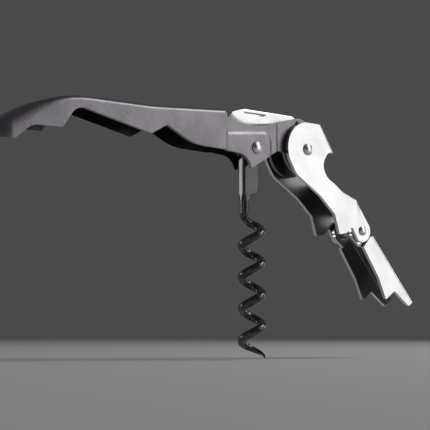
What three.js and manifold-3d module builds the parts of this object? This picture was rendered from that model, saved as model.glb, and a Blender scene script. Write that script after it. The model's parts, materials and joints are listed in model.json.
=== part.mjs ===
// A lever corkscrew with a double-hinged lever and a folding knife, for three.js 0.186.
// Millimetres, +Z up. X runs along the handle towards the lever, and every pivot lies along Y.
// The origin is on the worm's axis where the worm enters a cork.
import * as THREE from 'three';
import { mergeVertices } from 'three/addons/utils/BufferGeometryUtils.js';
import Module from 'manifold-3d';

const wasm = await Module();
wasm.setup();

// Driving dimensions
const SHEET = 1.2;            // thickness of the folded sheet steel
const GRIP_HALF = 6.0;        // outer half width of the grip and of both levers
const PLATEAU_HALF = 4.65;    // the head's raised panel around the worm rivet
const HEAD_HALF = 4.3;        // the head above and in front of that panel
const FRONT_HALF = 3.95;      // the head under the lever's round end
const FOLD = 1.5;             // outer radius of the fold along the spine
const GAP = 0.1;              // clearance between faces that touch
const RUN = 0.2;              // radial clearance of a rivet in its hole

const WORM_PIVOT = [-1.8, 41.6];
const LEVER_PIVOT = [19.6, 42.8];
const JOINT_PIVOT = [45.4, 17.3];
const KNIFE_PIVOT = [17.0, 51.1];

const HEAD_ROUND = 8.6;       // radius of the head round the lever rivet
const LEVER_ROUND = 8.85;     // radius of the lever's round end
const LOBE = 3.8;             // radius of the lever's end round the joint rivet
const LUG_HALF = 4.5;         // outer half width of the boot's lug, inside the lever
const LUG_ROUND = 3.9;

const WIRE = 1.4;             // radius of the worm's wire
const HELIX = 3.2;            // radius of the worm's centre line
const PITCH = 10;
const TURNS = 4.5;
const HELIX_TOP = 21.4;       // height where the helix would start if the wire met it at once
const SWING_TOP = 21.9;       // height where the straight wire starts to swing onto the helix
const SWING = 4;              // drop over which it does so
const TIP = 4;                // length of the sharpened point
const SHANK_HALF = 1.5;       // half thickness of the flattened shank
const SHANK_LEFT = WORM_PIVOT[0] - 2.7;
const EYE_ROUND = 3.2;        // radius of the worm's flat eye
const BLADE_HALF = 0.8;
const TANG_ROUND = 3.1;       // radius of the blade's end round its rivet
const NICK_DEPTH = 0.4;
const SPRING_SHEET = 0.5;     // the leaf spring's thickness
const SPRING_HALF = 4.4;      // its half width
const SPRING_GAP = 0.3;       // clearance between it and the lever's web
const SLIP = 0.02;            // how far a web lies inside its cheeks' outline
const SIDE_SLIP = 0.2;        // and inside their outer faces
const THROUGH = 9;            // half length of a cut that goes right through

const BIG_RIVET = { shaft: 1.3, head: 1.95, dome: 0.9 };
const JOINT_RIVET = { shaft: 1.1, head: 1.65, dome: 0.75 };
const KNIFE_RIVET = { shaft: 0.8, head: 1.05, dome: 0.45 };

const polished = { color: 0xd9d9d6, roughness: 0.2, metalness: 1 };
const coated = { color: 0x1d1c1f, roughness: 0.45, metalness: 0.3 };
const glossy = { color: 0x111113, roughness: 0.12, metalness: 0.2 };
const dark = { color: 0x3a3838, roughness: 0.4, metalness: 0.9 };
const spring = { color: 0x8f9399, roughness: 0.3, metalness: 1 };

// Solids

function solid(geometry) {
  let g = geometry.clone();
  g.deleteAttribute('normal');
  g.deleteAttribute('uv');
  g = mergeVertices(g, 1e-4);
  const mesh = new wasm.Mesh({
    numProp: 3,
    vertProperties: new Float32Array(g.attributes.position.array),
    triVerts: new Uint32Array(g.index.array),
  });
  return new wasm.Manifold(mesh);
}

function union(...solids) {
  return solids.reduce((whole, next) => whole.add(next));
}

// A closed outline in the XZ plane. A corner is [x, z] or [x, z, radius], and a radius rounds it.
function outline(corners) {
  const points = [];
  corners.forEach(([x, z, radius = 0], i) => {
    const corner = new THREE.Vector2(x, z);
    const before = corners[(i + corners.length - 1) % corners.length];
    const after = corners[(i + 1) % corners.length];
    const back = new THREE.Vector2(before[0] - x, before[1] - z).normalize();
    const ahead = new THREE.Vector2(after[0] - x, after[1] - z).normalize();
    const turn = Math.PI - Math.acos(THREE.MathUtils.clamp(back.dot(ahead), -1, 1));
    if (radius === 0 || turn < 1e-4) {
      points.push(corner);
      return;
    }
    const middle = back.clone().add(ahead).normalize();
    const centre = corner.clone().addScaledVector(middle, radius / Math.cos(turn / 2));
    const from = corner.clone().addScaledVector(back, radius * Math.tan(turn / 2)).sub(centre);
    const side = Math.sign(from.cross(corner.clone().sub(centre)));
    const steps = Math.max(2, Math.ceil(turn / 0.25));
    for (let k = 0; k <= steps; k++) {
      const angle = side * turn * k / steps;
      points.push(from.clone().rotateAround(new THREE.Vector2(), angle).add(centre));
    }
  });
  return new THREE.Shape(points);
}

// An XZ outline carried along Y, from one half width on the far side to another on the near side.
function plate(shape, near, far = near) {
  const geometry = new THREE.ExtrudeGeometry(shape, { depth: near + far, bevelEnabled: false });
  return solid(geometry.translate(0, 0, -far).rotateX(Math.PI / 2));
}

// A plate with its two rims rounded over.
function crowned(shape, half, radius) {
  const geometry = new THREE.ExtrudeGeometry(shape, {
    depth: 2 * (half - radius), bevelEnabled: true, bevelThickness: radius, bevelSize: radius,
    bevelOffset: -radius, bevelSegments: 4,
  });
  return solid(geometry.translate(0, 0, radius - half).rotateX(Math.PI / 2));
}

// The two cheeks of a channel: plates between an inner and an outer half width.
function cheeks(shape, inner, outer) {
  return union(plate(shape, outer, -inner), plate(shape, -inner, outer));
}

function round(radius, half, [x, z], sides = 40) {
  return solid(new THREE.CylinderGeometry(radius, radius, 2 * half, sides).translate(x, 0, z));
}

function ring(inner, outer, from, to, [x, z]) {
  const shape = new THREE.Shape();
  shape.absarc(x, z, outer, from, to, false);
  shape.absarc(x, z, inner, to, from, true);
  return shape;
}

// A strip of sheet that follows the outside corners, with its thickness towards the channel.
function strip(corners, thickness, inset) {
  const edge = (distance) => corners.map(([x, z], i) => {
    const before = corners[Math.max(i - 1, 0)];
    const after = corners[Math.min(i + 1, corners.length - 1)];
    const first = new THREE.Vector2(x - before[0], z - before[1]).normalize();
    const second = new THREE.Vector2(after[0] - x, after[1] - z).normalize();
    const along = first.clone().add(second).normalize();
    const stretch = first.lengthSq() && second.lengthSq() ? along.dot(second) : 1;
    return [x + along.y * distance / stretch, z - along.x * distance / stretch];
  });
  return outline([...edge(inset), ...edge(inset + thickness).reverse()]);
}

function part(name, body, finish) {
  const { vertProperties, triVerts } = body.getMesh();
  const geometry = new THREE.BufferGeometry();
  geometry.setAttribute('position', new THREE.BufferAttribute(vertProperties, 3));
  geometry.setIndex(new THREE.BufferAttribute(triVerts, 1));
  geometry.computeVertexNormals();
  const mesh = new THREE.Mesh(geometry, new THREE.MeshStandardMaterial(finish));
  mesh.name = name;
  return mesh;
}

// Handle: a folded channel, open below, with the head stepped in and slotted for the knife

const SPINE_END = -14.9;
const SPINE_TOP = 52.5;
const GRIP_TOP = 50.6;
const TAIL = -98.8;

function spineOutline(inset) {
  return outline([
    [32, 20], [32, 58], [SPINE_END, 58], [SPINE_END, SPINE_TOP - inset],
    [-45, GRIP_TOP - inset, 80], [-82.6 + inset / 3, GRIP_TOP - inset, 50 - inset],
    [-99.2 + inset, 38.9 - inset / 3, 2.6 - inset / 2], [-98.2 + inset, 20],
  ]);
}

function planOutline(inset) {
  const half = [
    [TAIL + inset, GRIP_HALF - inset, 5.4 - inset],
    [-15.9 - inset / 2, GRIP_HALF - inset], [-14.2 - inset / 2, HEAD_HALF - inset],
    [7.2, HEAD_HALF - inset], [7.8, FRONT_HALF - inset], [32, FRONT_HALF - inset],
  ];
  return outline([...half, ...half.map(([x, y, r]) => [x, -y, r]).reverse()]);
}

function handleSide() {
  return outline([
    [SPINE_END, SPINE_TOP + 1], [-110, SPINE_TOP + 1], [-110, 35.9], [-92.8, 36.0, 2.5],
    [-87.2, 40.5, 6], [-77.2, 40.6, 0.5], [-72.2, 47.5, 5], [-45.3, 41.9, 1],
    [-39.4, 45.1, 1.5], [-29, 40.2, 22], [-13.9, 39.7], [-5.2, 38.9, 5.5],
    [-4.1, 34.8, 0.4], [7.7, 41.5, 0.8], [13, 41.2], [19.6, 36], [27, 42.8], [23.3, 51.2, 2],
    [18, 53.15, 4], [13.9, 52.3, 3], [-3.6, 47.5, 34], [SPINE_END, 50.6],
  ]);
}

function vertical(shape) {
  const geometry = new THREE.ExtrudeGeometry(shape, { depth: 60, bevelEnabled: false });
  return solid(geometry.translate(0, 0, 10));
}

function handleShell() {
  const panel = outline([[SPINE_END, 45], [2.0, 46.7, 3.2], [4.4, 40], [4.4, 30], [SPINE_END, 30]]);
  const side = plate(handleSide(), 8).add(round(HEAD_ROUND, 8, LEVER_PIVOT, 56));
  const outer = crowned(spineOutline(0), GRIP_HALF, FOLD).intersect(vertical(planOutline(0)));
  const inner = plate(spineOutline(SHEET), 8).intersect(vertical(planOutline(SHEET)));
  const bridge = ring(HEAD_ROUND - SHEET, HEAD_ROUND, 0.25, 1.0, LEVER_PIVOT);
  return union(outer, plate(panel, PLATEAU_HALF))
    .intersect(side)
    .subtract(inner)
    .subtract(plate(panel, PLATEAU_HALF - SHEET))
    .add(plate(bridge, FRONT_HALF - SHEET / 2))
    .subtract(round(BIG_RIVET.shaft + RUN, THROUGH, WORM_PIVOT))
    .subtract(round(BIG_RIVET.shaft + RUN, THROUGH, LEVER_PIVOT))
    .subtract(round(KNIFE_RIVET.shaft + RUN, THROUGH, KNIFE_PIVOT, 24));
}

// Worm: an eye and flattened shank that runs into a round wire, wound into a right-handed helix

class Helix extends THREE.Curve {
  getPoint(t, target = new THREE.Vector3()) {
    const top = SWING_TOP + 2;
    const bottom = HELIX_TOP - TURNS * PITCH;
    const z = top + (bottom - top) * t;
    const angle = Math.PI - 2 * Math.PI * (HELIX_TOP - z) / PITCH;
    const swung = THREE.MathUtils.smoothstep(SWING_TOP - z, 0, SWING);
    const x = THREE.MathUtils.lerp(SHANK_LEFT + WIRE, HELIX * Math.cos(angle), swung);
    return target.set(x, HELIX * Math.sin(angle) * swung, z);
  }
}

function worm() {
  const path = new Helix();
  const section = new THREE.Shape().absarc(0, 0, WIRE, 0, 2 * Math.PI, false);
  const wire = new THREE.ExtrudeGeometry(section, {
    steps: 110, extrudePath: path, bevelEnabled: false, curveSegments: 10,
  });
  const end = path.getPoint(1);
  const heading = path.getTangent(1);
  const point = new THREE.ConeGeometry(WIRE, TIP, 20).translate(0, TIP / 2 - 0.2, 0)
    .applyQuaternion(new THREE.Quaternion().setFromUnitVectors(new THREE.Vector3(0, 1, 0), heading))
    .translate(...end);
  const shank = outline([
    [SHANK_LEFT, WORM_PIVOT[1]], [1.7, WORM_PIVOT[1]], [1.7, 27.6, 0.3], [-1.8, 27.0, 2.2],
    [-1.8, 22.5], [SHANK_LEFT, 22.5],
  ]);
  const eye = round(EYE_ROUND, SHANK_HALF, WORM_PIVOT);
  return union(plate(shank, SHANK_HALF - 0.1), eye, solid(wire), solid(point))
    .subtract(round(BIG_RIVET.shaft + RUN, THROUGH, WORM_PIVOT));
}

// Upper lever: two cheeks, with a web across the nose and another from the neck to the joint

const NOSE = [[26.7, 51.4], [32.3, 42.9]];
const LEVER_BACK = [[29.4, 33.6], [42.8, 28.1], [46.0, 22.5]];

function upperLever() {
  const side = outline([
    [19.6, 51.65], [26.7, 51.5, 1.5], [32.5, 42.7, 0.3], [29.2, 42.7, 2], [26.0, 38.2, 4.6],
    [28.9, 33.75, 6], [42.8, 28.1, 1], [45.8, 22.8, 8], [48.6, 19.2, 1.2], JOINT_PIVOT,
    [43.3, 14.8], [40.5, 18.3, 0.5], [37.6, 16.2, 1.5], [34.4, 15.6, 0.5], [32.2, 22.2, 1.2],
    [25.7, 27.8, 14], [14.8, 34.2, 2.5], [13.0, 37.0],
  ]);
  const shape = [cheeks(side, GRIP_HALF - SHEET, GRIP_HALF),
    cheeks(circle(LEVER_ROUND, LEVER_PIVOT), GRIP_HALF - SHEET, GRIP_HALF),
    cheeks(circle(LOBE, JOINT_PIVOT), GRIP_HALF - SHEET, GRIP_HALF),
    plate(strip(NOSE, SHEET, SLIP), GRIP_HALF - SIDE_SLIP),
    plate(strip(LEVER_BACK, SHEET, SLIP), GRIP_HALF - SIDE_SLIP)];
  return union(...shape)
    .subtract(round(BIG_RIVET.shaft + RUN, THROUGH, LEVER_PIVOT))
    .subtract(round(JOINT_RIVET.shaft + RUN, THROUGH, JOINT_PIVOT));
}

function circle(radius, [x, z]) {
  return new THREE.Shape().absarc(x, z, radius, 0, 2 * Math.PI, false);
}

// Boot lever: a channel whose two lugs step in to fit between the upper lever's cheeks

const BOOT_BACK = [[52.6, 14.6], [71.0, -6.1]];

function bootLever() {
  const wide = [
    [50.9, 16.6, 0.5], [71.2, -6.1, 0.6], [68.6, -7.9, 1], [61.3, -2.7, 0.5], [56.9, -5.8, 0.5],
    [53.4, 1.6, 12], [46.6, 11.6, 0.8],
  ];
  const band = outline([[46.2, 12.3], [50.5, 16.4], [51.4, 15.5], [47.2, 11.3]]);
  const lug = outline([
    [48.4, 19.0], [51.2, 16.0], [47.0, 11.4], [45.2, 12.0], [40.9, 16.0, 1.5], [43.0, 20.4],
  ]);
  const inner = LUG_HALF - SHEET;
  return union(
    cheeks(outline(wide), GRIP_HALF - SHEET, GRIP_HALF),
    cheeks(lug, inner, LUG_HALF),
    cheeks(circle(LUG_ROUND, JOINT_PIVOT), inner, LUG_HALF),
    cheeks(band, inner, GRIP_HALF),
    plate(strip(BOOT_BACK, SHEET, SLIP), GRIP_HALF - SIDE_SLIP),
  ).subtract(round(JOINT_RIVET.shaft + RUN, THROUGH, JOINT_PIVOT));
}

// Knife: a foil cutter that lies in the head's slot with its back outwards

function knife() {
  const side = outline([
    [KNIFE_PIVOT[0], KNIFE_PIVOT[1] + TANG_ROUND], [-4.2, 54.5, 8], [-9.2, 52.9, 2],
    [-10.7, 50.4, 1], [-5.0, 46.6, 8], [13.0, 46.6, 1.5],
    [KNIFE_PIVOT[0] - 1, KNIFE_PIVOT[1] - 2.4],
  ]);
  const nick = outline([[-4.2, 53.2, 0.3], [5.6, 53.4, 0.3], [2.0, 52.2, 1.5]]);
  return union(plate(side, BLADE_HALF), round(TANG_ROUND, BLADE_HALF, KNIFE_PIVOT))
    .subtract(plate(nick, BLADE_HALF + 1, NICK_DEPTH - BLADE_HALF))
    .subtract(round(KNIFE_RIVET.shaft + RUN, THROUGH, KNIFE_PIVOT, 24));
}

// Rivets, washers, sleeves and the spring

function rivet({ shaft, head, dome }, grip, [x, z]) {
  const profile = [new THREE.Vector2(0, -grip - dome)];
  const steps = 6;
  for (let k = 1; k <= steps; k++) {
    const angle = Math.PI / 2 * k / steps;
    profile.push(new THREE.Vector2(head * Math.sin(angle), -grip - dome * Math.cos(angle)));
  }
  profile.push(new THREE.Vector2(shaft, -grip));
  const whole = [...profile, ...profile.map((p) => new THREE.Vector2(p.x, -p.y)).reverse()];
  return solid(new THREE.LatheGeometry(whole, 32).translate(x, 0, z));
}

function washer(bore, radius, from, to, [x, z]) {
  const profile = [[bore, from], [radius, from], [radius, to], [bore, to], [bore, from]];
  const points = profile.map(([r, y]) => new THREE.Vector2(r, y));
  return solid(new THREE.LatheGeometry(points, 32).translate(x, 0, z));
}

function pair(name, bore, radius, inner, outer, pivot) {
  const near = washer(bore, radius, -outer + GAP, -inner - GAP, pivot);
  const far = washer(bore, radius, inner + GAP, outer - GAP, pivot);
  return [part(`${name}_front`, near, polished), part(`${name}_back`, far, polished)];
}

function bootSpring() {
  const lie = [[31.0, 32.95], [42.8, 28.1], [45.2, 23.8]];
  return plate(strip(lie, SPRING_SHEET, SHEET + SPRING_GAP), SPRING_HALF);
}

const bigBore = BIG_RIVET.shaft + RUN;
const group = new THREE.Group();
group.add(
  part('handle_shell', handleShell(), coated),
  part('worm', worm(), glossy),
  part('worm_rivet', rivet(BIG_RIVET, PLATEAU_HALF + GAP / 2, WORM_PIVOT), polished),
  ...pair('worm_spacer', bigBore, 2.8, SHANK_HALF, PLATEAU_HALF - SHEET, WORM_PIVOT),
  part('upper_lever', upperLever(), polished),
  part('lever_rivet', rivet(BIG_RIVET, GRIP_HALF + GAP / 2, LEVER_PIVOT), polished),
  part('lever_sleeve', washer(bigBore, 2.6, SHEET + GAP - FRONT_HALF, FRONT_HALF - SHEET - GAP,
    LEVER_PIVOT), polished),
  ...pair('lever_washer', bigBore, 4, FRONT_HALF, GRIP_HALF - SHEET, LEVER_PIVOT),
  part('boot_lever', bootLever(), polished),
  part('joint_rivet', rivet(JOINT_RIVET, GRIP_HALF + GAP / 2, JOINT_PIVOT), polished),
  part('joint_sleeve', washer(JOINT_RIVET.shaft + RUN, 2.2, SHEET + GAP - LUG_HALF,
    LUG_HALF - SHEET - GAP, JOINT_PIVOT), polished),
  part('boot_spring', bootSpring(), spring),
  part('knife_blade', knife(), polished),
  part('knife_rivet', rivet(KNIFE_RIVET, FRONT_HALF + GAP / 2, KNIFE_PIVOT), dark),
  ...pair('knife_spacer', KNIFE_RIVET.shaft + RUN, 1.9, BLADE_HALF, FRONT_HALF - SHEET, KNIFE_PIVOT),
);

export default group;
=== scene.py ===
"""A double-hinged lever corkscrew's looks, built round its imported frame. Lengths are in millimetres."""

import json
import math

import bpy
import numpy as np
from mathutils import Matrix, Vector


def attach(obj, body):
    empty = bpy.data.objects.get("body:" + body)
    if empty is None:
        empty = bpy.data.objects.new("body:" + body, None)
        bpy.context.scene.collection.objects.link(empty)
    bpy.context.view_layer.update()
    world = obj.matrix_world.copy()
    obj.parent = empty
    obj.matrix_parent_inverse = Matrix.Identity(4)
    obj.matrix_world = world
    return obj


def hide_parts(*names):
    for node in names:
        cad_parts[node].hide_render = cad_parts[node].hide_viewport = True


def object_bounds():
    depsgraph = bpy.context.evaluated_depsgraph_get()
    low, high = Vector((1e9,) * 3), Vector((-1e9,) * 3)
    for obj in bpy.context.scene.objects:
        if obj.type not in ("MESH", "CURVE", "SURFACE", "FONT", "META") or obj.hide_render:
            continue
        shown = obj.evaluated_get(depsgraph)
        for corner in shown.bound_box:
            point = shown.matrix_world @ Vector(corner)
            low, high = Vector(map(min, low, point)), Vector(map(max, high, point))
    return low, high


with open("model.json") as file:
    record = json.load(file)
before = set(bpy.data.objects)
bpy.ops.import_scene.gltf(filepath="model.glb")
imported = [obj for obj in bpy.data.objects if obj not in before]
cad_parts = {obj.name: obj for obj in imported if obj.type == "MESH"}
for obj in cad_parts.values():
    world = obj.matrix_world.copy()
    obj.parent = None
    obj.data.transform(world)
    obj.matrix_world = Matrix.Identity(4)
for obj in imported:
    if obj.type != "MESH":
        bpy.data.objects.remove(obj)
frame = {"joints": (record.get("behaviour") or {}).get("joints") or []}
CAD_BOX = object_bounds()

MM = 0.001
SHEET = 1.2            # thickness of the folded sheet steel
GRIP_HALF = 6.0        # outer half widths, from the grip and levers inwards
PLATEAU_HALF = 4.65
LUG_HALF = 4.5
HEAD_HALF = 4.3
FRONT_HALF = 3.95
SHANK_HALF = 1.5
BLADE_HALF = 0.8
HEAD_ROUND = 8.6       # radii round the pivots
LEVER_ROUND = 8.85
LOBE = 3.8
LUG_ROUND = 3.9
EYE_ROUND = 3.2
TANG_ROUND = 3.1
FOLD = 1.5             # outer radius of the levers' folds
FADE = 7.0             # length over which a fold dies out
GAP = 0.1              # gap left at each end of a washer or sleeve
SLIP = 0.02            # how far the head's bridge lies inside its sides' outline
RIM_ANGLE = 50


def pivot(joint):
    """A joint's place in the XZ plane, in millimetres."""
    x, _, z = next(j["pos_m"] for j in frame["joints"] if j["name"] == joint)
    return np.array([x, z]) / MM


WORM_PIVOT = pivot("handle_pivot")
LEVER_PIVOT = pivot("lever_pivot")
JOINT_PIVOT = pivot("boot_pivot")
KNIFE_PIVOT = pivot("knife_pivot")


# ---------------------------------------------------------------- shader maths


class Socket:
    """A shader socket that adds Math nodes when it meets an operator."""

    def __init__(self, tree, out):
        self.tree = tree
        self.out = out

    def math(self, operation, *values):
        return self.tree.add("ShaderNodeMath", {"operation": operation}, values)

    def __add__(self, other):
        return self.math("ADD", self, other)

    def __sub__(self, other):
        return self.math("SUBTRACT", self, other)

    def __mul__(self, other):
        return self.math("MULTIPLY", self, other)

    def __rsub__(self, other):
        return self.math("SUBTRACT", other, self)

    __radd__ = __add__
    __rmul__ = __mul__

    def step(self, low, high):
        """0 below low, 1 above high, smooth between."""
        settings = {"interpolation_type": "SMOOTHSTEP"}
        return self.tree.add("ShaderNodeMapRange", settings, {0: self, 1: low, 2: high, 3: 0.0, 4: 1.0})


class Material:
    """A material whose nodes are made by one method, add()."""

    def __init__(self, name, **constants):
        self.data = bpy.data.materials.new(name)
        self.data.use_nodes = True
        self.nodes = self.data.node_tree.nodes
        self.links = self.data.node_tree.links
        self.shader = self.nodes["Principled BSDF"]
        for socket, value in constants.items():
            self.shader.inputs[socket.replace("_", " ")].default_value = value
        self.place = self.add("ShaderNodeTexCoord", output="Object")

    def add(self, kind, settings=None, values=(), output=0):
        node = self.nodes.new(kind)
        for key, value in (settings or {}).items():
            setattr(node, key, value)
        pairs = values.items() if isinstance(values, dict) else enumerate(values)
        for key, value in pairs:
            if isinstance(value, Socket):
                self.links.new(value.out, node.inputs[key])
            else:
                node.inputs[key].default_value = value
        return Socket(self, node.outputs[output])

    def noise(self, scale, detail=3.0, rough=0.5, stretch=None, turn=(0, 0, 0)):
        """Noise with scale features per metre, stretched along an axis where stretch is under 1."""
        place = self.place
        if stretch:
            place = self.add("ShaderNodeMapping", {}, {0: place, 2: turn, 3: stretch})
        values = {"Vector": place, "Scale": scale, "Detail": detail, "Roughness": rough}
        return self.add("ShaderNodeTexNoise", {}, values)

    def mix(self, mask, low, high):
        """The colour low where the mask is 0 and high where it is 1; each is a socket or three numbers."""
        low, high = (c if isinstance(c, Socket) else (*c, 1) for c in (low, high))
        return self.add("ShaderNodeMix", {"data_type": "RGBA"}, {0: mask, 6: low, 7: high}, output=2)

    def scratches(self, density, thinness, turn):
        """Thin bright lines where a stretched noise passes through its middle value."""
        off = self.noise(density, 2.0, 0.5, (0.02, 1, 1), turn) - 0.5
        return 1 - off.math("ABSOLUTE", off).step(0.0, thinness)

    def bump(self, height, distance):
        """Relief distance metres deep."""
        return self.add("ShaderNodeBump", {}, {"Height": height, "Distance": distance})

    def finish(self, **links):
        """Joins sockets to the shader's inputs and returns the material."""
        for socket, value in links.items():
            self.links.new(value.out, self.shader.inputs[socket.replace("_", " ")])
        return self.data


ALONG_X = (0, 0, 0)
ALONG_Z = (0, math.radians(90), 0)


def steel(name, colour, roughness, grain, polish):
    """Polished or ground steel: faint lines of grain, a few stray scratches and slow smears."""
    m = Material(name, Metallic=1.0, IOR=2.6)
    lines = m.noise(2600, 3.0, 0.6, (0.03, 1, 1), grain)
    smear = m.noise(70, 3.0, 0.55)
    strays = m.scratches(420, 0.006, (0.35, grain[1] + 0.6, 0.2)) * m.noise(90).step(0.5, 0.62)
    tint = tuple(c * 0.82 for c in colour)
    streak = 0.4 - 0.38 * polish
    shade = m.mix((smear * (1 - streak) + lines * streak).step(0.35, 0.65), tint, colour)
    rough = roughness + (smear - 0.5) * 0.12 * polish + (lines - 0.5) * 0.1 * (1.4 - polish) + strays * 0.12
    height = lines * (1.2 - polish) - strays * 0.6
    return m.finish(Base_Color=shade, Roughness=rough, Normal=m.bump(height, 0.000012))


def coating(name, low, high, rubbed):
    """Satin black coating on steel: a fine even texture, soft mottling and a few rubbed lines."""
    m = Material(name, Metallic=0.92, IOR=1.5, Coat_Roughness=0.35)
    grit = m.noise(5200, 2.0, 0.6)
    peel = m.noise(900, 2.0, 0.5)
    mottle = m.noise(130, 4.0, 0.6)
    strays = m.scratches(300, 0.004, (0.2, 0.5, 0.3)) * m.noise(60).step(0.52, 0.66)
    base = m.mix(mottle.step(0.3, 0.7), low, high)
    shade = m.mix(strays * 0.35, base, rubbed)
    rough = 0.36 + (mottle - 0.5) * 0.12 + (grit - 0.5) * 0.08 - strays * 0.1
    return m.finish(
        Base_Color=shade, Roughness=rough, Coat_Weight=0.15 + (mottle - 0.5) * 0.1,
        Normal=m.bump(grit * 0.6 + peel * 0.8 - strays * 0.5, 0.000035),
    )


def slick(name):
    """Glossy black low-friction coating on the worm."""
    m = Material(name, Metallic=0.6, IOR=1.55, Coat_Roughness=0.06)
    ripple = m.noise(500, 2.0, 0.5)
    wear = m.noise(160, 4.0, 0.6)
    shade = m.mix(wear.step(0.35, 0.7), (0.050, 0.046, 0.051), (0.085, 0.078, 0.085))
    rough = 0.19 + (wear - 0.5) * 0.14
    return m.finish(
        Base_Color=shade, Roughness=rough, Coat_Weight=0.6 + (wear - 0.5) * 0.3,
        Normal=m.bump(ripple, 0.000006),
    )


COATINGS = {
    "black_coating": ((0.225, 0.210, 0.232), (0.310, 0.290, 0.315), (0.42, 0.40, 0.42)),
    # The inner coating is the outer black coating painted far darker: painted shade for the handle's inside
    # faces.
    "inner_coating_painted_shade": ((0.030, 0.028, 0.030), (0.052, 0.048, 0.051), (0.09, 0.085, 0.09)),
}
STEELS = {
    "polished_steel": ((0.87, 0.87, 0.86), 0.2, ALONG_Z, 0.9),
    # The inner steel is the polished steel painted dark grey and rougher: painted shade for the levers'
    # inside faces.
    "inner_steel_painted_shade": ((0.30, 0.30, 0.31), 0.34, ALONG_Z, 0.4),
    "plain_steel": ((0.6, 0.6, 0.6), 0.34, ALONG_X, 0.3),
    "spring_steel": ((0.5, 0.51, 0.54), 0.3, ALONG_X, 0.4),
    "blade_steel": ((0.86, 0.86, 0.85), 0.26, ALONG_Z, 0.35),
    "dark_steel": ((0.09, 0.09, 0.1), 0.4, ALONG_X, 0.3),
}
FINISHES = {
    **{name: coating(name, *colours) for name, colours in COATINGS.items()},
    "worm_black": slick("worm_black"),
    **{name: steel(name, *values) for name, values in STEELS.items()},
}


# ---------------------------------------------------------------- mesh tools


def walled(outer, inner, faces):
    """A sheet's two faces, point for point alike, closed along every open edge by a rim.

    Returns the points, the faces and how many of them are outside before as many inside ones."""
    count = len(outer)
    edges = {(a, b) for f in faces for a, b in zip(f, [*f[1:], f[0]])}
    rim = [(b, a, a + count, b + count) for a, b in edges if (b, a) not in edges]
    back = [[i + count for i in f[::-1]] for f in faces]
    return np.concatenate([outer, inner]), [*faces, *back, *sorted(rim)], len(faces)


def piece(name, shape, body, slot, replaces=(), bevel=0.0, inside=None):
    """A mesh piece in millimetres with its finish, its rims broken, and a second, darker finish of painted
    shade on a sheet's inside faces.
    """
    points, faces, *sheet = shape
    mesh = bpy.data.meshes.new(name)
    mesh.from_pydata((np.asarray(points, float) * MM).tolist(), [], [list(map(int, f)) for f in faces])
    mesh.shade_smooth()
    obj = bpy.data.objects.new(name, mesh)
    bpy.context.scene.collection.objects.link(obj)
    mesh.materials.append(FINISHES[slot])
    # A sheet's inside faces get the second finish, which paints shade onto them.
    if inside:
        mesh.materials.append(FINISHES[inside])
        index = np.zeros(len(faces), np.int32)
        index[sheet[0]:2 * sheet[0]] = 1
        mesh.polygons.foreach_set("material_index", index)
    if bevel:
        rim = obj.modifiers.new("rim", "BEVEL")
        rim.width = bevel * MM
        rim.segments = 3
        rim.limit_method = "ANGLE"
        rim.angle_limit = math.radians(RIM_ANGLE)
        rim.harden_normals = True
    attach(obj, body)
    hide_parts(*replaces)


def quads(rows, columns, around=False):
    """The faces of a grid of points stored row by row; around joins the last column to the first."""
    r, c = np.meshgrid(np.arange(rows - 1), np.arange(columns if around else columns - 1), indexing="ij")
    n = (c + 1) % columns
    stack = np.stack([r * columns + c, r * columns + n, (r + 1) * columns + n, (r + 1) * columns + c], -1)
    return stack.reshape(-1, 4).tolist()


def between(index):
    """The faces of a grid whose points have the given numbers."""
    stack = np.stack([index[:-1, :-1], index[:-1, 1:], index[1:, 1:], index[1:, :-1]], -1)
    return stack.reshape(-1, 4).tolist()


def caps(first, last, sides, start, end):
    """Fans that close a tube: the ring that begins at first to the point start, and last to end."""
    k = np.arange(sides)
    n = (k + 1) % sides
    fans = [np.stack([np.full(sides, start), n + first, k + first], -1),
            np.stack([k + last, n + last, np.full(sides, end)], -1)]
    return np.concatenate(fans).tolist()


def rounded(corners, step=0.1):
    """A closed outline whose corners (x, z, radius) are rounded with arcs of about step radians a side.

    Returns the points, and for each corner the index of its first and last point."""
    points, spans = [], []
    plan = [(*c, 0.0)[:3] for c in corners]
    for i, (x, z, radius) in enumerate(plan):
        corner = np.array([x, z])
        back = np.array(plan[i - 1][:2]) - corner
        ahead = np.array(plan[(i + 1) % len(plan)][:2]) - corner
        back, ahead = back / np.linalg.norm(back), ahead / np.linalg.norm(ahead)
        turn = math.pi - math.acos(np.clip(back @ ahead, -1, 1))
        start = len(points)
        if radius == 0 or turn < 1e-4:
            points.append(corner)
        else:
            middle = (back + ahead) / np.linalg.norm(back + ahead)
            centre = corner + middle * radius / math.cos(turn / 2)
            arm = corner + back * radius * math.tan(turn / 2) - centre
            side = np.sign(arm[0] * (corner - centre)[1] - arm[1] * (corner - centre)[0])
            angles = side * turn * np.linspace(0, 1, max(3, math.ceil(turn / step) + 1))
            cos, sin = np.cos(angles), np.sin(angles)
            spun = np.stack([arm[0] * cos - arm[1] * sin, arm[0] * sin + arm[1] * cos], 1)
            points.extend(centre + spun)
        spans.append((start, len(points) - 1))
    return np.array(points), spans


def arc(centre, radius, start, end, step=6):
    """Points on a circle from one angle to another, in degrees."""
    angles = np.radians(np.linspace(start, end, max(2, int(abs(end - start) / step) + 1)))
    return [(centre[0] + radius * math.cos(a), centre[1] + radius * math.sin(a)) for a in angles]


def smooth(t):
    """0 below 0, 1 above 1, and an S between."""
    t = np.clip(t, 0, 1)
    return t * t * (3 - 2 * t)


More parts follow.
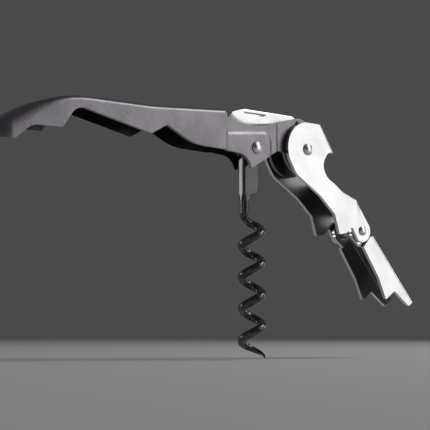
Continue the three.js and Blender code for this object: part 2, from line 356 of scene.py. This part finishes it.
def turned(name, profile, centre, body, slot, node):
    """A closed shape turned about a pivot. The profile is a list of (radius, y).

    A profile that starts on the axis ends on it too, and one that doesn't is closed end to end."""
    sides = 64
    radius, y = np.array(profile, float).T[..., None]
    angles = np.linspace(0, 2 * np.pi, sides, endpoint=False)
    grid = [centre[0] + radius * np.cos(angles), y + 0 * angles, centre[1] + radius * np.sin(angles)]
    rows = np.stack(grid, -1)
    if profile[0][0] > 0.01:
        last = (len(rows) - 1) * sides
        k = np.arange(sides)
        n = (k + 1) % sides
        faces = quads(len(rows), sides, around=True)
        faces += np.stack([k + last, n + last, n, k], -1).tolist()
        points = rows.reshape(-1, 3)
    else:
        inner = rows[1:-1].reshape(-1, 3)
        count = len(inner)
        points = np.concatenate([inner, rows[[0, -1], 0]])
        faces = quads(len(rows) - 2, sides, around=True)
        faces += caps(0, count - sides, sides, count, count + 1)
    piece(name, (points, faces), body, slot, [node])


# ---------------------------------------------------------------- handle


SPINE_END = -14.9
TAIL = -98.8
SPINE = [
    (-200, 20), (-98.2, 30), (-99.2, 38.9, 2.6), (-82.6, 50.6, 50), (-45, 50.6, 80), (SPINE_END, 52.5),
]
UNDERSIDE = [
    (-200, 20), (-110, 35.9), (-92.8, 36.0, 2.5), (-87.2, 40.5, 6), (-77.2, 40.6, 0.5), (-72.2, 47.5, 5),
    (-45.3, 41.9, 1), (-39.4, 45.1, 1.5), (-29, 40.2, 22), (-13.9, 39.7), (-5.2, 38.9, 5.5),
    (-4.1, 34.8, 0.4), (7.7, 41.5, 0.8), (12.5, 41.2), (13, 20),
]
HEAD_TOP = [
    (-200, 50.6), (SPINE_END, 50.6), (-3.6, 47.5, 34), (13.9, 52.3, 3), (18, 53.15, 4),
    (23.3, 51.2, 2), (27, 42.8),
]
RISE = 26              # rows of points up each side of the handle
TAIL_ROUND = 5.4       # radius of the tail in plan


def height_of(corners):
    """A line through rounded corners, as x and z to interpolate. It runs on past the handle at both ends."""
    points, _ = rounded([*corners, (200, 20)], 0.05)
    order = np.argsort(points[:, 0], kind="stable")
    return points[order, 0], points[order, 1]


def columns(marks, start, end, spacing):
    """Stations from start to end about spacing apart, with one at each mark."""
    marks = sorted({m for m in marks if start < m < end} | {start, end})
    stations = [np.linspace(a, b, max(2, math.ceil((b - a) / spacing) + 1))[:-1]
                for a, b in zip(marks, marks[1:])]
    return np.append(np.concatenate(stations), end)


def head_half(x, z):
    """Half width of the head: a raised panel round the worm rivet, and a step in under the lever."""
    corner, slope = 3.2, 1.3
    right, top = 4.4, 46.7 - 0.1 * (2.0 - x)

    # The distance outside the panel, whose top and right edges meet in a round corner
    px, pz = x - right + corner, z - top + corner
    outside = np.hypot(np.maximum(px, 0), np.maximum(pz, 0)) + np.minimum(np.maximum(px, pz), 0) - corner
    panel = smooth(0.5 - outside / slope)
    front = smooth((x - 6.9) / 1.1)
    return HEAD_HALF + (PLATEAU_HALF - HEAD_HALF) * panel - (HEAD_HALF - FRONT_HALF) * front


def half_width(x, z):
    """Half width of the whole handle: round in plan at the tail, and stepped in at the head."""
    into = np.clip((TAIL + TAIL_ROUND - x) / TAIL_ROUND, 0, 1)
    tail = GRIP_HALF - TAIL_ROUND + TAIL_ROUND * np.sqrt(1 - into ** 2)
    step = smooth((x + 16.1) / 2.2)
    return tail * (1 - step) + head_half(x, z) * step


def channel(x, inset):
    """The grip's surface at stations x: up the near side, round the fold, over the spine and down again.

    An inset moves it inwards by the sheet's thickness, with the same points in the same order."""
    low_x, low_z = height_of(UNDERSIDE)
    top_x, top_z = height_of(SPINE)

    # Where the underside and the spine run, and the fold between spine and side, wider at the tail
    bottom = np.interp(x, low_x, low_z)
    crown = np.interp(x, top_x, top_z)
    bottom = np.minimum(bottom, crown - 1.4)
    tail = smooth((TAIL + 14 - x) / 14)
    inside = x + inset * tail
    crown = np.maximum(crown - inset * (1 + 0.3 * tail), bottom + 0.1)
    large = 1.5 + 3.3 * smooth((-74 - x) / 18) - inset
    whole = half_width(x, np.full_like(x, 50.0))
    width = whole - inset * (1 - 0.6 * (x < TAIL + 0.5))
    width = np.maximum(width, 0.2)
    fold_y = np.minimum(large, 0.95 * width)
    fold_z = np.minimum(large, 0.85 * (crown - bottom))

    # The near side, the fold and the spine, then the far side as the near one's mirror image
    side = np.linspace(0, 1, RISE)
    angle = np.linspace(0, np.pi / 2, 10)[1:]
    z_side = bottom[:, None] + (crown - fold_z - bottom)[:, None] * side
    y_side = -np.maximum(half_width(x[:, None], z_side) - (whole - width)[:, None], 0.2)
    z_fold = (crown - fold_z)[:, None] + fold_z[:, None] * np.sin(angle)
    y_fold = -width[:, None] + fold_y[:, None] * (1 - np.cos(angle))
    y_top = np.linspace(-1, 1, 10)[1:-1] * (width - fold_y)[:, None]
    z_top = np.repeat(crown[:, None], y_top.shape[1], 1)
    half_y = np.concatenate([y_side, y_fold], 1)
    half_z = np.concatenate([z_side, z_fold], 1)
    y = np.concatenate([half_y, y_top, -half_y[:, ::-1]], 1)
    z = np.concatenate([half_z, z_top, half_z[:, ::-1]], 1)
    return np.stack([np.repeat(inside[:, None], y.shape[1], 1), y, z], -1)


def head_stations():
    """Stations along the head, closer together where its outline turns."""
    front = LEVER_PIVOT[0] + HEAD_ROUND * np.sin(np.linspace(0.48, np.pi / 2 - 0.02, 24))
    marks = np.concatenate([height_of(UNDERSIDE)[0], height_of(HEAD_TOP)[0]])
    x = columns(marks, SPINE_END, LEVER_PIVOT[0] + HEAD_ROUND, 0.45)
    return np.append(x[x < front[0] - 0.1], front)


def head_side(x, top, sign, inset):
    """One side of the head, from its underside to the knife's cut-out and round the lever's rivet."""
    low_x, low_z = height_of(UNDERSIDE)
    rim_x, rim_z = height_of(HEAD_TOP)
    underside_end, top_end, far = 12.5, 24, 99

    # Between the two lines, or the round end where it reaches further
    near = np.abs(x - LEVER_PIVOT[0]) < HEAD_ROUND
    circle = np.sqrt(np.maximum(HEAD_ROUND ** 2 - (x - LEVER_PIVOT[0]) ** 2, 0))
    low = np.where(x < underside_end, np.interp(x, low_x, low_z), far)
    low = np.minimum(low, np.where(near, LEVER_PIVOT[1] - circle, far))
    high = np.where(x < top_end, np.interp(x, rim_x, rim_z), -far)
    high = np.maximum(high, np.where(near, LEVER_PIVOT[1] + circle, -far))
    high[0] = top
    z = low[:, None] + (high - low)[:, None] * np.linspace(0, 1, RISE)
    y = sign * (half_width(x[:, None], z) - inset)
    return np.stack([np.repeat(x[:, None], RISE, 1), y, z], -1)


def handle():
    """One sheet: the grip's channel, and the head's two sides, whose rows carry on from the grip's."""
    low_x = height_of(UNDERSIDE)[0]
    x = columns(low_x, TAIL, SPINE_END, 0.8)
    near_tail = TAIL + TAIL_ROUND * (1 - np.cos(np.linspace(0, np.pi / 2, 22)))
    x = np.unique(np.round(np.concatenate([x[x > TAIL + TAIL_ROUND], near_tail]), 4))
    head_x = head_stations()
    layers = []
    for inset in (0.0, SHEET):
        grip = channel(x, inset)
        top = grip[-1, RISE - 1, 2]
        sides = [head_side(head_x, top, sign, inset)[1:] for sign in (-1, 1)]
        layers.append(np.concatenate([grip.reshape(-1, 3), *(s.reshape(-1, 3) for s in sides)]))
    wide = grip.shape[1]
    faces = quads(len(x), wide)
    faces.append(list(range(wide)))
    last = (len(x) - 1) * wide
    first = len(x) * wide
    near_join = last + np.arange(RISE)
    far_join = last + wide - 1 - np.arange(RISE)
    for join, turn in ((near_join, 1), (far_join, -1)):
        block = first + np.arange((len(head_x) - 1) * RISE).reshape(-1, RISE)
        faces += [f[::turn] for f in between(np.concatenate([join[None], block]))]
        first += block.size
    faces = [f[::-1] for f in faces]
    # The inside faces take the darker coating, which is painted shade.
    piece("handle_sheet", walled(*layers, faces), "handle", "black_coating", ["handle_shell"],
          bevel=0.2, inside="inner_coating_painted_shade")


def bridge():
    """The strip that joins the head's two sides in front of the knife."""
    angles = np.linspace(1.0, 0.25, 16)
    a, w = np.meshgrid(angles, np.linspace(-1, 1, 9) * (FRONT_HALF - 0.6), indexing="ij")
    layers = []
    for radius in (HEAD_ROUND - SLIP, HEAD_ROUND - SHEET):
        x, z = LEVER_PIVOT[0] + radius * np.cos(a), LEVER_PIVOT[1] + radius * np.sin(a)
        layers.append(np.stack([x, w, z], -1).reshape(-1, 3))
    faces = [f[::-1] for f in quads(*a.shape)]
    piece("head_bridge", walled(*layers, faces), "handle", "black_coating", bevel=0.15)


# ---------------------------------------------------------------- levers


def run_insets(outline, run, fold):
    """How far each point of a web's run moves in from the outline, where the fold starts."""
    count = len(outline)
    insets = []
    for k, i in enumerate(run):
        here = outline[i]
        lines = [here - outline[run[k - 1]]] if k else []
        lines += [outline[run[k + 1]] - here] if k + 1 < len(run) else []
        normals = [np.array([-d[1], d[0]]) / np.linalg.norm(d) for d in lines]
        if len(normals) == 2:
            middle = normals[0] + normals[1]
            insets.append(middle * fold / (middle @ normals[0]))
            continue
        beside = outline[(i + 1) % count if k else (i - 1) % count] - here
        beside = beside / np.linalg.norm(beside)
        lean = beside @ normals[0]
        insets.append(beside * fold / lean if lean > 0.6 else normals[0] * fold)
    return np.array(insets)


def folded(corners, webs, half, fades=()):
    """A channel of sheet: two flat sides joined by webs that run along parts of the outline.

    Each web runs from one corner of the outline to another, and its first end bows out. Along it the
    flat sides stop short by the fold's radius, and a quarter round, a flat and another quarter round carry
    the sheet across; towards a corner in fades the flat sides reach the outline again. Returns the outer
    and inner points, the faces, each corner's first and last point, and how many points a side has."""
    outline, spans = rounded(corners, 0.12)
    count = len(outline)
    runs = []
    flat = outline.copy()
    for start, end, bow in webs:
        a, b = spans[start][1], spans[end][0]
        run = [(a + k) % count for k in range((b - a) % count + 1)]
        shift = run_insets(outline, run, FOLD)
        steps = np.diff(outline[run], axis=0, prepend=outline[run[:1]])
        along = np.cumsum(np.linalg.norm(steps, axis=1))
        full = np.ones(len(run))
        for corner, away in ((start, along), (end, along[-1] - along)):
            if corner in fades:
                full *= smooth(away / FADE)
        full = full[:, None]
        flat[run] += shift * full
        runs.append((run, shift[:, None], full[:, None], bow))

    angles = np.linspace(0, np.pi / 2, 7)[1:]
    sin = np.sin(angles)[None, :, None]
    across = np.linspace(-1, 1, 9)[1:-1]
    layers = []
    for thick in (0.0, SHEET):
        near = np.stack([flat[:, 0], np.full(count, thick - half), flat[:, 1]], -1)
        blocks = [near, near * [1, -1, 1]]
        for run, shift, full, bow in runs:
            here = outline[run][:, None]
            keep = thick / FOLD
            arcs = here + shift * (full * (1 - (1 - keep) * sin) + (1 - full) * keep * sin)
            middle = np.repeat(arcs[:, -1:], len(across), 1)
            ahead = outline[run[0]] - outline[run[1]]
            middle[0] += bow * (1 - across[:, None] ** 2) * ahead / np.linalg.norm(ahead)
            y = half - FOLD + (FOLD - thick) * np.cos(angles)
            line = np.concatenate([arcs, middle, arcs[:, ::-1]], 1)
            ys = np.concatenate([-y, across * (half - FOLD), y[::-1]])
            ys = np.broadcast_to(ys, line.shape[:2])
            blocks.append(np.stack([line[..., 0], ys, line[..., 1]], -1).reshape(-1, 3))
        layers.append(np.concatenate(blocks))

    faces = [list(range(count)), list(range(2 * count - 1, count - 1, -1))]
    first = 2 * count
    wide = 2 * len(angles) + len(across)
    for run, *_ in runs:
        index = first + np.arange(len(run) * wide).reshape(len(run), wide)
        index = np.concatenate([np.array(run)[:, None], index, np.array(run)[:, None] + count], 1)
        faces += between(index)
        first += len(run) * wide
    return layers, faces, spans, count


HIP = (43.2, 28.25, 1.2)
NECK = (31.2, 32.8)


def upper_lever():
    """Round end, flat nose with the cap hook, throat, neck, first step and the lobe round the joint."""
    disc = arc(LEVER_PIVOT, LEVER_ROUND, 92, 214, 5)
    lobe = arc(JOINT_PIVOT, LOBE, -125, 28, 8)
    slope = np.linspace(HIP[:2], NECK, 7)[1:].tolist()
    corners = [
        *disc, (14.6, 34.3, 5), (25.7, 27.8, 14), (32.2, 22.2, 1.2), (34.4, 15.6, 0.5),
        (37.6, 16.2, 1.5), (40.5, 18.3, 0.5), *lobe, (45.8, 22.8, 8), (43.7, 26.5),
        HIP, *slope, (28.9, 33.75, 6), (26.0, 38.2, 4.6), (29.2, 42.7, 2.2), (32.5, 42.7), (26.7, 51.5),
        (22.5, 51.62),
    ]
    joint_end = len(disc) + 6 + len(lobe)
    neck = joint_end + 2 + len(slope)
    tip, nose_top = neck + 4, neck + 5
    webs = [(joint_end, neck, 0.0), (tip, nose_top, 0.0)]
    layers, faces, _, _ = folded(corners, webs, GRIP_HALF, fades=(joint_end, neck))
    # The inside faces take the dark steel, which is painted shade.
    piece("upper_lever_sheet", walled(*layers, faces), "lever", "polished_steel", ["upper_lever"],
          bevel=0.15, inside="inner_steel_painted_shade")


def boot_lever():
    """The lower lever: a channel whose two lugs step in to fit between the upper lever's sides."""
    wide = [
        (46.05, 11.75), (53.4, 1.6, 12), (56.9, -5.8, 0.5), (61.3, -2.7, 0.5), (68.6, -7.9, 1),
        (71.2, -6.1), (51.4, 16.07), (49.2, 15.3),
    ]
    layers, faces, spans, count = folded(wide, [(5, 6, 1.1)], GRIP_HALF)
    last, first = spans[7][0], spans[0][0]
    around = arc(JOINT_PIVOT, LUG_ROUND, 40, 196, 8)
    lug, _ = rounded([(50.0, 16.6), *around, (41.1, 15.6, 1.5), (45.7, 12.1)], 0.15)

    # On each side a ramp steps in from the wide sheet to the lug
    steps = np.linspace(0, 1, 7)[1:-1]
    rise = smooth(steps)
    total = len(layers[0])
    extra = [[], []]
    for sign in (-1, 1):
        ends = [last, first] if sign < 0 else [last + count, first + count]
        edge = layers[0][ends][:, [0, 2]]
        goal = lug[[0, -1]]
        line = edge[:, None] + (goal - edge)[:, None] * steps[None, :, None]
        base = total + sum(len(e) for e in extra[0])
        for which, thick in enumerate((0.0, SHEET)):
            y = sign * (GRIP_HALF - thick - (GRIP_HALF - LUG_HALF) * rise)
            y = np.broadcast_to(y, line.shape[:2])
            ramp = np.stack([line[..., 0], y, line[..., 1]], -1).reshape(-1, 3)
            flat = np.stack([lug[:, 0], np.full(len(lug), sign * (LUG_HALF - thick)), lug[:, 1]], -1)
            extra[which].append(np.concatenate([ramp, flat]))
        index = base + np.arange(2 * len(steps)).reshape(2, -1)
        lug_at = base + 2 * len(steps)
        goal_at = np.array([lug_at, lug_at + len(lug) - 1])
        index = np.concatenate([np.array(ends)[:, None], index, goal_at[:, None]], 1)
        strip = np.stack([index[0, :-1], index[1, :-1], index[1, 1:], index[0, 1:]], -1).tolist()
        disc = list(range(lug_at, lug_at + len(lug)))
        faces += [f[::sign] for f in strip] + [disc[::-sign]]
    layers = [np.concatenate([layer, *more]) for layer, more in zip(layers, extra)]
    # The inside faces take the dark steel, which is painted shade.
    piece("boot_lever_sheet", walled(*layers, faces), "boot", "polished_steel", ["boot_lever"],
          bevel=0.15, inside="inner_steel_painted_shade")


def boot_spring():
    """A bent leaf against the inside of the upper lever's web."""
    half = 4.3
    rows, wide = 25, 7
    bends = [(31.5, 31.2), (42.0, 26.85), (44.1, 22.9)]
    x, z = (np.interp(np.linspace(0, 2, rows), range(3), line) for line in zip(*bends))
    outer = np.array([(a, y, b) for a, b in zip(x, z) for y in np.linspace(-half, half, wide)])
    inner = outer - [0.28, 0, 0.4]
    piece("boot_leaf_spring", walled(outer, inner, quads(rows, wide)), "lever", "spring_steel",
          ["boot_spring"], bevel=0.08)


# ---------------------------------------------------------------- worm


WIRE = 1.4
HELIX = 3.2
PITCH = 10.0
TURNS = 4.5
HELIX_TOP = 21.4
SWING_TOP = 21.9
SWING = 4.0
SHANK_LEFT = WORM_PIVOT[0] - 2.7
SHANK_RIGHT = 1.7
GROUND = 11.0          # length of wire that is ground to a point


def worm():
    """One closed sweep: flat eye and shank, a shoulder down to round wire, the helix and its ground point.

    The section is a superellipse, whose sides change from a flat plate's to a circle's at the shoulder."""
    sides = 36
    around = np.linspace(0, 2 * np.pi, sides, endpoint=False)

    # The flat part, ring by ring downwards
    eye = np.linspace(0, np.pi / 2, 12)
    z = np.concatenate([
        WORM_PIVOT[1] + EYE_ROUND * np.cos(eye), np.linspace(WORM_PIVOT[1] - 0.6, 28.4, 18),
        np.linspace(28.2, 24.2, 26),
    ])
    up = np.clip((z - WORM_PIVOT[1]) / EYE_ROUND, 0, 1)
    reach = np.sqrt(1 - up ** 2)
    shoulder = smooth((27.7 - z) / 1.5) * 0.7 + smooth((27.2 - z) / 3.2) * 0.3
    right = SHANK_RIGHT - (SHANK_RIGHT - (SHANK_LEFT + 2 * WIRE)) * shoulder
    centre = (right + SHANK_LEFT) / 2
    wide = (right - SHANK_LEFT) / 2
    centre = centre + (WORM_PIVOT[0] - centre) * smooth(up * 3)
    wide = wide * reach
    thick = SHANK_HALF - (SHANK_HALF - WIRE) * shoulder
    power = 2 / (2 + 7 * (1 - shoulder))
    cos, sin = np.cos(around), np.sin(around)
    sx = np.sign(cos) * np.abs(cos) ** power[:, None]
    sy = np.sign(sin) * np.abs(sin) ** power[:, None]
    flat = np.stack([centre[:, None] + wide[:, None] * sx, thick[:, None] * sy,
                     np.repeat(z[:, None], sides, 1)], -1)[1:]

    # The wire's centre line: straight, then swung onto the helix
    z = np.linspace(SWING_TOP + 2, HELIX_TOP - TURNS * PITCH - 1.7, 420)
    phase = np.pi - 2 * np.pi * (HELIX_TOP - z) / PITCH
    swung = smooth((SWING_TOP - z) / SWING)
    x = (SHANK_LEFT + WIRE) * (1 - swung) + HELIX * np.cos(phase) * swung
    path = np.stack([x, HELIX * np.sin(phase) * swung ** 1.6, z], -1)
    tangent = np.gradient(path, axis=0)
    tangent /= np.linalg.norm(tangent, axis=1)[:, None]
    turn = np.minimum(phase, np.pi)
    out = np.stack([np.cos(turn), np.sin(turn), 0 * turn], -1)
    out -= tangent * np.sum(out * tangent, 1)[:, None]
    out /= np.linalg.norm(out, axis=1)[:, None]
    beside = np.cross(tangent, out)

    # The point is ground on its inner side, so its centre line moves outwards as it thins
    length = np.concatenate([[0], np.cumsum(np.linalg.norm(np.diff(path, axis=0), axis=1))])
    to_go = length[-1] - length
    radius = WIRE * np.clip(0.04 + 0.96 * (to_go / GROUND) ** 0.75, 0, 1)
    offset = (WIRE - radius) * 0.8
    path = path + out * offset[:, None]
    circle = out[:, None] * -cos[None, :, None] + beside[:, None] * sin[None, :, None]
    coil = path[:, None] + circle * radius[:, None, None]
    tube = np.concatenate([flat, coil])
    count = len(tube) * sides
    ends = [[WORM_PIVOT[0], 0, WORM_PIVOT[1] + EYE_ROUND], path[-1] + tangent[-1] * 0.2]
    points = np.concatenate([tube.reshape(-1, 3), ends])
    faces = quads(len(tube), sides, around=True) + caps(0, count - sides, sides, count, count + 1)
    faces = [f[::-1] for f in faces]
    piece("worm_wire", (points, faces), "worm", "worm_black", ["worm"])


# ---------------------------------------------------------------- knife


NICK = (0.9, 53.35)    # the middle of the nail nick's upper edge
NICK_HALF = 5.4
NICK_TALL = 1.4
NICK_DEPTH = 0.6


def blade():
    """A foil-cutter blade: flat above, ground to an edge below, with a nail nick near its back."""
    px, pz = KNIFE_PIVOT
    tip = -10.4
    back, _ = rounded([
        (px + 4, pz + TANG_ROUND), (px, pz + TANG_ROUND), (-4.2, 54.4, 8), (-9.2, 52.9, 2.0), (-11.0, 50.2),
    ], 0.05)
    edge, _ = rounded([
        (-14, 53), (-10.9, 49.6), (-5.0, 46.6, 8), (13.0, 46.6, 1.5), (px - 1, pz - 2.4), (px + 4, pz - 2.4),
    ], 0.05)
    x = np.concatenate([
        tip + 4 * (1 - np.cos(np.linspace(0, np.pi / 2, 16))), np.linspace(tip + 4, px - 1, 130)[1:],
        px + TANG_ROUND * np.sin(np.linspace(-0.3, np.pi / 2, 20))[1:],
    ])
    x = np.unique(np.round(x, 4))
    order = np.argsort(back[:, 0])
    top = np.interp(x, back[order, 0], back[order, 1])
    order = np.argsort(edge[:, 0])
    low = np.interp(x, edge[order, 0], edge[order, 1])

    # The round tang and the blunt free end
    round_part = x > px - 1.9
    bow = np.sqrt(np.maximum(TANG_ROUND ** 2 - (x - px) ** 2, 1e-4))
    top = np.where(x > px, pz + bow, top)
    low = np.where(round_part, np.minimum(pz - bow, np.where(x < px - 1, low, 99)), low)
    blunt = np.clip((x - tip) / 1.8, 0, 1)
    blunt = np.sqrt(1 - (1 - blunt) ** 2)
    middle = (top + low) / 2
    top = np.maximum(middle + (top - middle) * blunt, middle + 0.02)
    low = np.minimum(middle + (low - middle) * blunt, middle - 0.02)

    # Thickness: ground from the back to the edge, full round the rivet, and rounded at the rims
    rows = 56
    z = top[:, None] + (low - top)[:, None] * np.linspace(0, 1, rows)
    ground = smooth((z - low[:, None]) / 4.2) * 0.9 + 0.1
    keep = smooth((x - 9.5) / 3.5)[:, None]
    thick = BLADE_HALF * (ground * (1 - keep) + keep)
    rim = np.minimum((top[:, None] - z), 0.2) / 0.2
    thick = thick * (0.8 + 0.2 * np.sqrt(np.clip(rim, 0, 1)))
    thick = thick * np.sqrt(np.clip((x - tip + 0.1) / 0.5, 0, 1))[:, None]

    # The nail nick, on the near face only
    along = (x[:, None] - NICK[0]) / NICK_HALF
    below = NICK[1] - z
    cut = smooth(below / 0.12) * smooth((NICK_TALL * (1 - along ** 2) - below) / 0.55) * (np.abs(along) < 1)
    fade = 1 - 0.8 * np.clip(below / NICK_TALL, 0, 1)
    near = -thick + NICK_DEPTH * cut * fade
    loop_y = np.concatenate([near, thick[:, ::-1]], 1)
    loop_z = np.concatenate([z, z[:, ::-1]], 1)
    count = 2 * rows
    points = np.stack([np.repeat(x[:, None], count, 1), loop_y, loop_z], -1).reshape(-1, 3)
    faces = quads(len(x), count, around=True)
    faces.append(list(range(count))[::-1])
    last = (len(x) - 1) * count
    faces.append(list(range(last, last + count)))
    faces = [f[::-1] for f in faces]
    piece("knife_blade_ground", (points, faces), "knife", "blade_steel", ["knife_blade"])


# ---------------------------------------------------------------- rivets and rings


BIG = {"shaft": 1.3, "head": 1.95, "dome": 0.9}
MEDIUM = {"shaft": 1.1, "head": 1.65, "dome": 0.75}
SMALL = {"shaft": 0.8, "head": 1.05, "dome": 0.45}
RUN = 0.2              # radial clearance of a rivet in its hole
STAND = 0.05           # gap under a rivet's head
BROKEN = 0.08          # width of a ring's broken edges


def rivet(node, size, grip, centre, body, slot="polished_steel"):
    """A pin with two domed heads, each a low cap with a small straight rim."""
    under = grip + STAND
    angles = np.linspace(0, np.pi / 2, 14)
    cap = [(size["head"] * math.sin(a), under + size["dome"] * (0.16 + 0.84 * math.cos(a))) for a in angles]
    profile = [*cap, (size["head"], under), (size["shaft"], under)]
    turned(f"{node}_pin", [(r, -y) for r, y in profile] + profile[::-1], centre, body, slot, node)


def ring(node, size, radius, low, high, centre, body):
    """A washer or sleeve with its edges broken, a gap clear of its neighbours at both ends."""
    bore, low, high, c = size["shaft"] + RUN, low + GAP, high - GAP, BROKEN
    profile = [
        (bore, low + c), (bore + c, low), (radius - c, low), (radius, low + c), (radius, high - c),
        (radius - c, high), (bore + c, high), (bore, high - c),
    ]
    turned(f"{node}_ring", profile, centre, body, "plain_steel", node)


def small_parts():
    """The four rivets, the sleeves round two of them, and the washers and spacers in pairs."""
    rivet("worm_rivet", BIG, PLATEAU_HALF, WORM_PIVOT, "handle")
    rivet("lever_rivet", BIG, GRIP_HALF, LEVER_PIVOT, "lever")
    rivet("joint_rivet", MEDIUM, GRIP_HALF, JOINT_PIVOT, "lever")
    rivet("knife_rivet", SMALL, FRONT_HALF, KNIFE_PIVOT, "handle", "dark_steel")
    ring("lever_sleeve", BIG, 2.6, SHEET - FRONT_HALF, FRONT_HALF - SHEET, LEVER_PIVOT, "handle")
    ring("joint_sleeve", MEDIUM, 2.2, SHEET - LUG_HALF, LUG_HALF - SHEET, JOINT_PIVOT, "lever")
    for side, sign in (("front", -1), ("back", 1)):
        for name, size, radius, low, high, centre, body in (
            ("worm_spacer", BIG, 2.8, SHANK_HALF, PLATEAU_HALF - SHEET, WORM_PIVOT, "handle"),
            ("lever_washer", BIG, 4.0, FRONT_HALF, GRIP_HALF - SHEET, LEVER_PIVOT, "lever"),
            ("knife_spacer", SMALL, 1.9, BLADE_HALF, FRONT_HALF - SHEET, KNIFE_PIVOT, "handle"),
        ):
            ring(f"{name}_{side}", size, radius, *sorted((sign * low, sign * high)), centre, body)


handle()
bridge()
upper_lever()
boot_lever()
boot_spring()
worm()
blade()
small_parts()


# ---------------------------------------------------------------- stage


def camera():
    """A long lens in front and to the left, low down, which looks a little up at the handle."""
    lens = bpy.data.cameras.new("camera")
    lens.sensor_width = 36
    lens.lens = 114.03
    lens.clip_end = 20
    view = bpy.data.objects.new("camera", lens)
    bpy.context.scene.collection.objects.link(view)
    distance, bearing = 435, math.radians(42.3)
    place = Vector((-distance * math.sin(bearing) - 0.4, -distance * math.cos(bearing), -17.6))
    view.location = place * MM
    view.rotation_euler = (math.radians(90 + 5.0), 0, -math.radians(40.8))
    bpy.context.scene.camera = view


def floor():
    """A plain pale floor just under the worm's point."""
    mesh = bpy.data.meshes.new("floor")
    level = CAD_BOX[0][2] - 0.5 * MM
    reach = 6
    square = [(-reach, -reach, level), (reach, -reach, level), (reach, reach, level), (-reach, reach, level)]
    mesh.from_pydata(square, [], [(0, 1, 2, 3)])
    ground = bpy.data.objects.new("floor", mesh)
    pale = bpy.data.materials.new("pale_floor")
    pale.use_nodes = True
    shader = pale.node_tree.nodes["Principled BSDF"]
    shader.inputs["Base Color"].default_value = (0.86, 0.86, 0.85, 1)
    shader.inputs["Roughness"].default_value = 0.9
    mesh.materials.append(pale)
    bpy.context.scene.collection.objects.link(ground)


def light(name, place, size, power):
    """A square lamp, in metres and watts, turned towards the middle of the corkscrew."""
    aim = Vector((0.0, 0.0, 0.02))
    lamp = bpy.data.lights.new(name, "AREA")
    lamp.shape = "RECTANGLE"
    lamp.size, lamp.size_y = size
    lamp.energy = power
    obj = bpy.data.objects.new(name, lamp)
    obj.location = place
    obj.rotation_euler = (aim - Vector(place)).to_track_quat("-Z", "Y").to_euler()
    bpy.context.scene.collection.objects.link(obj)


def studio():
    """Soft lamps in front on the right, two narrower ones for the folds' edges, and a dim even sky."""
    light("key", (0.75, -0.75, 0.35), (0.7, 0.9), 2.3)
    light("edge_above", (0.75, -0.48, 0.75), (0.5, 0.2), 2.4)
    light("edge_beside", (1.15, -0.02, 0.14), (0.35, 0.5), 1.3)
    light("top", (0.35, -0.6, 0.9), (0.8, 0.8), 0.5)
    light("fill", (-0.95, -0.35, 0.1), (0.5, 0.22), 0.18)
    light("rim", (-0.8, 0.93, 0.13), (0.35, 0.3), 1.3)
    world = bpy.data.worlds.new("studio")
    bpy.context.scene.world = world
    world.use_nodes = True
    sky = world.node_tree.nodes["Background"]
    sky.inputs["Color"].default_value = (0.80, 0.81, 0.83, 1)
    sky.inputs["Strength"].default_value = 0.085


camera()
floor()
studio()
bpy.context.scene.view_settings.view_transform = "Standard"
